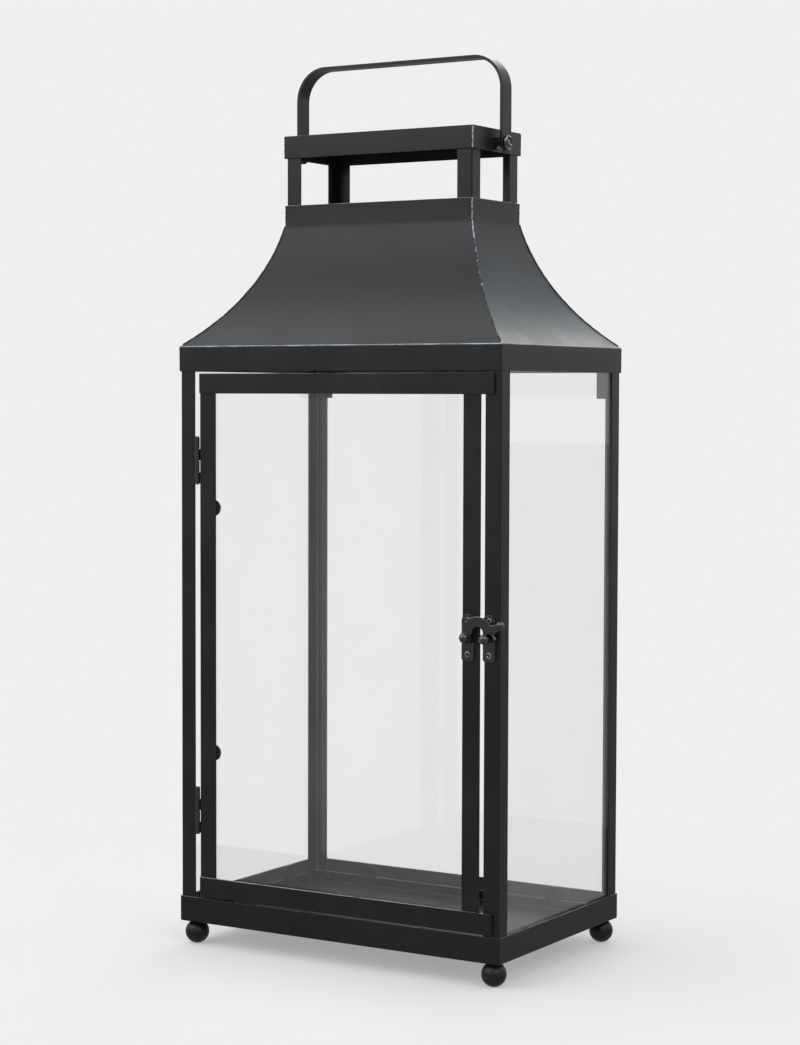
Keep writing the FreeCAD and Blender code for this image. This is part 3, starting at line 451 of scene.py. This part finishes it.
def alone(piece):
    """Makes the piece the only one selected."""
    bpy.ops.object.select_all(action="DESELECT")
    piece.select_set(True)
    bpy.context.view_layer.objects.active = piece


def pick_edges(piece, test):
    """In edit mode, selects just the edges that pass the test, and counts them."""
    bpy.ops.mesh.select_mode(type="EDGE")
    bpy.ops.mesh.select_all(action="DESELECT")
    mesh = bmesh.from_edit_mesh(piece.data)
    chosen = [edge for edge in mesh.edges if test(edge)]
    for edge in chosen:
        edge.select_set(True)
    mesh.select_flush_mode()
    bmesh.update_edit_mesh(piece.data)
    return len(chosen)


def middle(edge):
    """The middle of an edge."""
    return sum((v.co for v in edge.verts), Vector()) / len(edge.verts)


def copy_of(node, name):
    """A merged copy of a measured piece's mesh, as a new piece in the same place."""
    piece = bpy.data.objects.new(name, frame["nodes"][node].data.copy())
    piece.data.name = name
    piece.data.materials.clear()
    bpy.context.scene.collection.objects.link(piece)
    alone(piece)
    bpy.ops.mesh.customdata_custom_splitnormals_clear()
    bpy.ops.object.mode_set(mode="EDIT")
    bpy.ops.mesh.select_all(action="SELECT")
    bpy.ops.mesh.remove_doubles(threshold=MERGE)
    bpy.ops.mesh.dissolve_limited(angle_limit=FLAT)
    bpy.ops.mesh.normals_make_consistent(inside=False)
    bpy.ops.object.mode_set(mode="OBJECT")
    return piece


def finish(piece, body, slot, materials, *nodes):
    """Smooths the piece, lets it ride on its body, and hides the measured pieces it stands for."""
    if not piece.data.materials:
        for material in materials:
            piece.data.materials.append(material)
    alone(piece)
    bpy.ops.object.shade_smooth_by_angle(angle=CREASE)
    flat_faces = piece.modifiers.new("flat_faces", "WEIGHTED_NORMAL")
    flat_faces.keep_sharp = True
    flat_faces.weight = 100
    bpy.ops.object.modifier_apply(modifier=flat_faces.name)
    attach(piece, body)
    if nodes:
        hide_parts(*nodes)
    return piece


def roll(piece, test, radius, segments, material):
    """Rounds the edges that pass the test, and gives the round a material of its own."""
    bpy.ops.object.mode_set(mode="EDIT")
    count = pick_edges(piece, test)
    if count:
        bpy.ops.mesh.bevel(offset=radius, segments=segments, affect="EDGES", material=material)
    bpy.ops.object.mode_set(mode="OBJECT")
    return count


def sharp(edge, shortest):
    """True for a convex or concave corner edge that is at least so long."""
    return edge.is_manifold and edge.calc_face_angle(0) > CREASE and edge.calc_length() > shortest


print("piece helpers ready")

# %% [markdown]
# ## Sheet and angle iron
# All folded and cut sheet gets the same treatment. Long bends are rolled wider than cut edges, so
# each piece may name one test for its bends. Short edges round rivet holes are left alone, because a
# bevel there would run into its neighbour.

# %% One rolled copy of a measured piece
CUT_EDGE = 0.32 * MM
SHORTEST = 1.5 * MM
BODIES = frame["record"]["behaviour"]["bodies"]
BODY_OF = {node: body for body, nodes in BODIES.items() for node in nodes}


def slot_of(node):
    """The finish that the record gives a measured piece."""
    return frame["nodes"][node].material_slots[0].material.name.split(".")[0]


def rolled(node, bend=None, bend_radius=0.0, bend_finish=0, shortest=SHORTEST, cut=CUT_EDGE,
           skin=paint, rim=edge_wear_and_highlight):
    """A rolled copy of a sheet piece. bend says which edges are folds rather than cuts."""
    piece = copy_of(node, node + "_rolled")
    for material in (skin, rim):
        piece.data.materials.append(material)
    bends = roll(piece, bend, bend_radius, 4, bend_finish) if bend else 0
    cuts = roll(piece, lambda edge: sharp(edge, shortest), cut, 2, 1)
    finish(piece, BODY_OF[node], slot_of(node), (), node)
    print(piece.name, "bends", bends, "cut edges", cuts, "faces", len(piece.data.polygons))
    return piece


def upright(edge):
    """True for an edge that stands up."""
    along = edge.verts[1].co - edge.verts[0].co
    return abs(along.z) > 0.9 * along.length


def near(value, goal):
    """True within a tenth of a millimetre."""
    return abs(value - goal) < 0.1 * MM


def at_corner(edge, across, back):
    """True for an upright edge on the outer corner at (across, back), on any side of the middle."""
    spot = middle(edge)
    return upright(edge) and near(abs(spot.x), across) and near(abs(spot.y), back)


# %% [markdown]
# The posts are bent from strip, so their outer corners are rounder than their cut edges.

# %% Corner posts and vent posts
POST_BEND = 1.0 * MM

for node in frame["nodes"]:
    if node.startswith(("corner_post", "vent_post")):
        low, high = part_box(node)
        reach = max(abs(low.x), abs(high.x)), max(abs(low.y), abs(high.y))
        rolled(node, lambda edge: at_corner(edge, *reach), POST_BEND)

# %% [markdown]
# The tray is folded up all round. Its inside is seen through the glass, duller and blotchier than
# the outside, because the paint was sprayed in there at an angle and dust settles in it.

# %% Tray
TRAY_BEND = 0.9 * MM
INSIDE = 0.5 * MM
tray_low, tray_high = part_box("base_tray")


def tray_bend(edge):
    """The tray's folds: round its foot, and up its four outer corners."""
    spot = middle(edge)
    outer = near(abs(spot.x), tray_high.x) or near(abs(spot.y), tray_high.y)
    return near(spot.z, tray_low.z) and outer or at_corner(edge, tray_high.x, tray_high.y)


def inside_tray(face):
    """True for a face above the tray's underside and within its walls."""
    spot = face.center
    within = abs(spot.x) < tray_high.x - INSIDE and abs(spot.y) < tray_high.y - INSIDE
    return within and spot.z > tray_low.z + INSIDE


tray = rolled("base_tray", tray_bend, TRAY_BEND)
tray.data.materials.append(tray_paint)
inner = [face for face in tray.data.polygons if face.material_index == 0 and inside_tray(face)]
for face in inner:
    face.material_index = 2
print("tray faces with the inside paint", len(inner))

# %% [markdown]
# Each roof panel is one folded sheet. The fold over the fascia is a soft bend that draws a light
# line all round the eaves, so it is rolled wider and wears the lighter edge finish, which paints
# part of that line in as a highlight. The fold under the collar is crisp and stays as it is.

# %% Roof, cap and door frame
EAVES = 391.0
EAVES_BEND = 0.6 * MM
LONG_FOLD = 50 * MM
FRAME_EDGE = 0.4 * MM
STRAP_EDGE = 0.35 * MM


def roof_fold(edge):
    """True for the long outer edge of the fold over the fascia."""
    long_edge = edge.calc_length() > LONG_FOLD
    return near(middle(edge).z, EAVES * MM) and edge.is_convex and long_edge


for node in frame["nodes"]:
    if node.startswith("roof_panel"):
        rolled(node, roof_fold, EAVES_BEND, bend_finish=1)
    if node.startswith(("door_stile", "door_rail")):
        rolled(node, cut=FRAME_EDGE)
rolled("cap_lid", cut=FRAME_EDGE)
rolled("handle_strap", shortest=FRAME_EDGE, cut=STRAP_EDGE)

# %% [markdown]
# Hinge leaves, latch plates and the clips that hold the panes are small stampings. The leaves and
# plates have the same thick enamel as the knobs, and the clips are painted with the frame.

# %% Hinge leaves, latch plates and clips
SMALL_EDGE = 0.3 * MM
PLATE_ROLL = 0.22 * MM
CLIP_ROLL = 0.16 * MM

for node in frame["nodes"]:
    if node.startswith(("hinge_leaf", "latch_plate")):
        rolled(node, shortest=SMALL_EDGE, cut=PLATE_ROLL, skin=enamel, rim=enamel)
    if node.startswith("clips"):
        rolled(node, shortest=SMALL_EDGE, cut=CLIP_ROLL)

# %% [markdown]
# ## Panes
# A pane is sawn and its edges are ground, so they are dull, slightly bevelled and green where the
# light runs along the glass.

# %% Panes with ground edges
GROUND_EDGE = 0.3 * MM
PANE_SIDE = 1 * MM
SQUARE_ON = 0.99

for node in ("glass_left", "glass_right", "glass_rear", "door_glass"):
    piece = copy_of(node, node + "_seamed")
    for material in (glass, glass_edge):
        piece.data.materials.append(material)
    roll(piece, lambda edge: sharp(edge, PANE_SIDE), GROUND_EDGE, 2, 1)
    low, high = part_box(node)
    thin = min(range(3), key=lambda axis: high[axis] - low[axis])
    for face in piece.data.polygons:
        face.material_index = 0 if abs(face.normal[thin]) > SQUARE_ON else 1
    finish(piece, BODY_OF[node], "clear_glass", (), node)
    print(piece.name, "faces", len(piece.data.polygons))

# %% [markdown]
# ## Solder
# The four roof panels are joined with a run of solder down each hip. It is modelled as a thin wire
# that follows the hip: a small ring is spun along the flare's arc, stretched to the diagonal, and
# roughened, because solder freezes in little lumps. Short straight runs close the collar and cap.
# All sizes here are in millimetres, and the flare's centre is worked out from its run and rise.

# %% A lumpy bead
COLLAR_FOOT = 470
COLLAR_ACROSS = 70.5
COLLAR_BACK = 30.5
ROOF_RUN = 49.5
ROOF_RISE = 79.0
FLARE = 141.7
FOOT_SHORT = 2.4
BEAD = 0.46
LUMPS = 0.14
RING = 8
HIP_STEPS = 48
STEP_UP = 1.2

half_chord = math.hypot(ROOF_RUN, ROOF_RISE) / 2
to_centre = math.sqrt(FLARE ** 2 - half_chord ** 2)
flare_out = ROOF_RUN / 2 + ROOF_RISE / (2 * half_chord) * to_centre
flare_up = EAVES + ROOF_RISE / 2 + ROOF_RUN / (2 * half_chord) * to_centre


def ring(name, across, back, level):
    """A small ring in edit mode, from which a bead is drawn out."""
    bpy.ops.object.select_all(action="DESELECT")
    spot = (across * MM, back * MM, level * MM)
    bpy.ops.mesh.primitive_circle_add(vertices=RING, radius=BEAD * MM, location=spot)
    piece = bpy.context.object
    piece.name = piece.data.name = name
    bpy.ops.object.mode_set(mode="EDIT")
    bpy.ops.mesh.select_all(action="SELECT")
    return piece


def lump(piece, seed):
    """Closes a bead's ends and roughens it."""
    bpy.ops.mesh.select_all(action="SELECT")
    bpy.ops.mesh.fill_holes(sides=0)
    bpy.ops.transform.vertex_random(offset=LUMPS * MM, uniform=1.0, normal=0.0, seed=seed)
    bpy.ops.mesh.normals_make_consistent(inside=False)
    bpy.ops.object.mode_set(mode="OBJECT")


def hip_bead(name, side, end, seed):
    """The bead on one hip: spun in the flare's plane to just short of its foot, stretched and turned."""
    piece = ring(name, 0, 0, 0)
    bpy.ops.transform.translate(value=(0, 0, COLLAR_FOOT * MM))
    start = math.atan2(COLLAR_FOOT - flare_up, 0 - flare_out)
    stop = math.atan2(EAVES - flare_up, ROOF_RUN - flare_out)
    centre = (flare_out * MM, 0, flare_up * MM)
    turn = start - stop + FOOT_SHORT / FLARE
    bpy.ops.mesh.spin(steps=HIP_STEPS, angle=turn, center=centre, axis=(0, -1, 0))
    bpy.ops.mesh.select_all(action="SELECT")
    bpy.ops.transform.resize(value=(math.sqrt(2), 1, 1), center_override=(0, 0, 0))
    lump(piece, seed)
    piece.rotation_euler = (0, 0, math.atan2(end, side))
    piece.location = (side * COLLAR_ACROSS * MM, end * COLLAR_BACK * MM, 0)
    return piece


def upright_bead(name, across, back, low, high, seed):
    """A straight bead up a corner."""
    piece = ring(name, across, back, low)
    steps = max(4, int((high - low) / STEP_UP))
    for _ in range(steps):
        rise = {"value": (0, 0, (high - low) / steps * MM)}
        bpy.ops.mesh.extrude_region_move(TRANSFORM_OT_translate=rise)
    lump(piece, seed)
    return piece


def settle(piece):
    """Puts a piece's place, turn and size into its mesh."""
    alone(piece)
    bpy.ops.object.transform_apply(location=True, rotation=True, scale=True)
    return piece


print("flare centre", round(flare_out, 2), round(flare_up, 2))

# %% [markdown]
# One set of beads is made for each of the four corners. They sit half inside the sheet, so only
# their crowns show.

# %% Beads on hips, collar and cap
SEAM_IN = 0.30
COLLAR_SEAM = ("collar", COLLAR_ACROSS, COLLAR_BACK, COLLAR_FOOT, 483.2)
CAP_SEAM = ("cap", 71, 31, 514.3, 528.1)
CORNERS = {"front_right": (1, -1), "front_left": (-1, -1), "rear_right": (1, 1), "rear_left": (-1, 1)}

for seed, (corner, (side, end)) in enumerate(CORNERS.items(), start=1):
    beads = [hip_bead(f"solder_hip_{corner}", side, end, seed)]
    for part, across, back, low, high in (COLLAR_SEAM, CAP_SEAM):
        spot = side * (across - SEAM_IN), end * (back - SEAM_IN)
        beads.append(upright_bead(f"solder_{part}_{corner}", *spot, low, high, seed + 10))
    for bead in beads:
        finish(settle(bead), "lantern_body", "black_paint", (solder,))
    print("beads at", corner, [len(bead.data.polygons) for bead in beads])

# %% [markdown]
# ## Turned pieces
# Rivet heads and eyelets are turned: a disc is extruded upwards again and again, and scaled at each
# step, as a lathe would leave it. They are made upright at the origin and then put in place.

# %% A lathe
def turn_up(name, steps, place, tilt, sides=40):
    """Steps of (radius, height) in mm from the foot up, on an axis tilted into place."""
    bpy.ops.object.select_all(action="DESELECT")
    radius, height = steps[0]
    disc = {"radius": radius * MM, "fill_type": "NGON", "location": (0, 0, 0)}
    bpy.ops.mesh.primitive_circle_add(vertices=sides, **disc)
    piece = bpy.context.object
    piece.name = piece.data.name = name
    bpy.ops.object.mode_set(mode="EDIT")
    bpy.ops.mesh.select_all(action="SELECT")
    bpy.ops.transform.translate(value=(0, 0, height * MM))
    for wide, high in steps[1:]:
        rise = {"value": (0, 0, (high - height) * MM)}
        bpy.ops.mesh.extrude_region_move(TRANSFORM_OT_translate=rise)
        spread = (wide / radius, wide / radius, 1)
        bpy.ops.transform.resize(value=spread, center_override=(0, 0, high * MM))
        radius, height = wide, high
    bpy.ops.mesh.select_all(action="SELECT")
    bpy.ops.mesh.normals_make_consistent(inside=False)
    bpy.ops.object.mode_set(mode="OBJECT")
    piece.rotation_euler = tilt
    piece.location = [value * MM for value in place]
    return settle(piece)


def join(pieces, name):
    """Makes several pieces one, with its own mesh."""
    alone(pieces[0])
    for piece in pieces:
        piece.select_set(True)
    bpy.ops.object.join()
    pieces[0].name = pieces[0].data.name = name
    return pieces[0]


print("lathe ready")

# %% [markdown]
# The handle hangs on two big rivets. Their heads are dished: a rim stands round a hollow with a low
# button in the middle, which is where the small crescent of light in the picture comes from. The
# rim is made a lighter, worn grey, which is partly a painted highlight.

# %% Handle rivets
RIVET_LEVEL = 519.3
RIVET_SIDES = 48
RIVET_HEAD = (
    (2.4, 69.2), (2.4, 78.1), (4.5, 78.1), (4.75, 78.4), (4.8, 79.0), (4.6, 79.55), (4.25, 79.8),
    (3.9, 79.7), (3.5, 79.15), (3.1, 78.85), (2.6, 78.95), (2.2, 79.35), (1.5, 79.6), (0.7, 79.7),
    (0.05, 79.72),
)
RIVET_TAIL = ((3.5, 69.05), (3.6, 69.4), (3.55, 70.0), (2.5, 70.3))
RIM_INNER, RIM_OUTER, RIM_FOOT = 3.9, 4.7, 79.0

for side, name in ((1, "right"), (-1, "left")):
    place, tilt = (0, 0, RIVET_LEVEL), (0, side * math.pi / 2, 0)
    head = turn_up("head", RIVET_HEAD, place, tilt, RIVET_SIDES)
    tail = turn_up("tail", RIVET_TAIL, place, tilt, RIVET_SIDES)
    rivet = join([head, tail], f"handle_rivet_{name}_dished")
    for material in (enamel, rim_wear_and_highlight):
        rivet.data.materials.append(material)
    for face in rivet.data.polygons:
        # Faces on the rim take the lighter rim finish: partly wear, partly a painted highlight.
        spot = face.center / MM
        wide = math.hypot(spot.y, spot.z - RIVET_LEVEL)
        on_rim_wear_and_highlight = RIM_INNER < wide < RIM_OUTER and abs(spot.x) > RIM_FOOT
        face.material_index = 1 if on_rim_wear_and_highlight else 0
    node = f"handle_rivet_{name}"
    finish(rivet, BODY_OF[node], slot_of(node), (), node)
    print(rivet.name, "faces", len(rivet.data.polygons))

# %% [markdown]
# Each latch plate is held by two eyelets. An eyelet is a rolled ring round a dark hollow, and the
# lower half of the ring catches the light. The ring wears the lighter rim finish, which is partly a
# painted highlight.

# %% Latch eyelets
EYELET = (
    (1.0, 0.0), (1.85, 0.0), (1.9, 0.2), (1.75, 0.42), (1.5, 0.5), (1.25, 0.44), (1.05, 0.2),
    (0.95, -0.9), (0.05, -0.95),
)
EYELET_REACH = 1.9
EYELET_RISE = 0.5
RING_RISE = 0.1

for node in ("latch_rivets_door", "latch_rivets_post"):
    low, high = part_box(node)
    across = (low.x + high.x) / 2 / MM
    levels = (low.z / MM + EYELET_REACH, high.z / MM - EYELET_REACH)
    seat = low.y / MM + EYELET_RISE
    tilt = (math.pi / 2, 0, 0)
    eyelets = [turn_up("eyelet", EYELET, (across, seat, level), tilt) for level in levels]
    pair = join(eyelets, node + "_eyelets")
    for material in (enamel, rim_wear_and_highlight):
        pair.data.materials.append(material)
    # The proud ring takes the lighter rim finish, partly a painted highlight.
    for face in pair.data.polygons:
        face.material_index = 1 if face.center.y < (seat - RING_RISE) * MM else 0
    finish(pair, BODY_OF[node], slot_of(node), (), node)
    print(pair.name, "faces", len(pair.data.polygons))

# %% [markdown]
# ## The hook
# The hook is a casting, so it has no edge at all. Its measured shape is flat, with the right outline.
# Melting it with a voxel remesh and then smoothing it gives the round, soft section of cast iron.

# %% Cast hook
HOOK_GRAIN = 0.22 * MM
HOOK_MELT = 14

hook = copy_of("latch_hook", "latch_hook_cast")
melt = hook.modifiers.new("melt", "REMESH")
melt.mode = "VOXEL"
melt.voxel_size = HOOK_GRAIN
soften = hook.modifiers.new("soften", "SMOOTH")
soften.factor = 0.5
soften.iterations = HOOK_MELT
for step in ("melt", "soften"):
    alone(hook)
    bpy.ops.object.modifier_apply(modifier=step)
finish(hook, BODY_OF["latch_hook"], slot_of("latch_hook"), (enamel,), "latch_hook")
print(hook.name, "faces", len(hook.data.polygons))

# %% [markdown]
# ## The rest
# The feet, studs, pins, spacers and screws have the right shape already and only need their finish.
# The measured pieces that were replaced are hidden, but they get it too.

# %% Finishes of the measured pieces that keep their own shape
SLOT_FINISH = {"black_paint": paint, "black_fittings": enamel, "clear_glass": glass, "dark_screws": steel}
for name, node in frame["nodes"].items():
    for slot in node.material_slots:
        slot.material = SLOT_FINISH[slot.material.name.split(".")[0]]
print("finished", len(frame["nodes"]), "measured pieces")
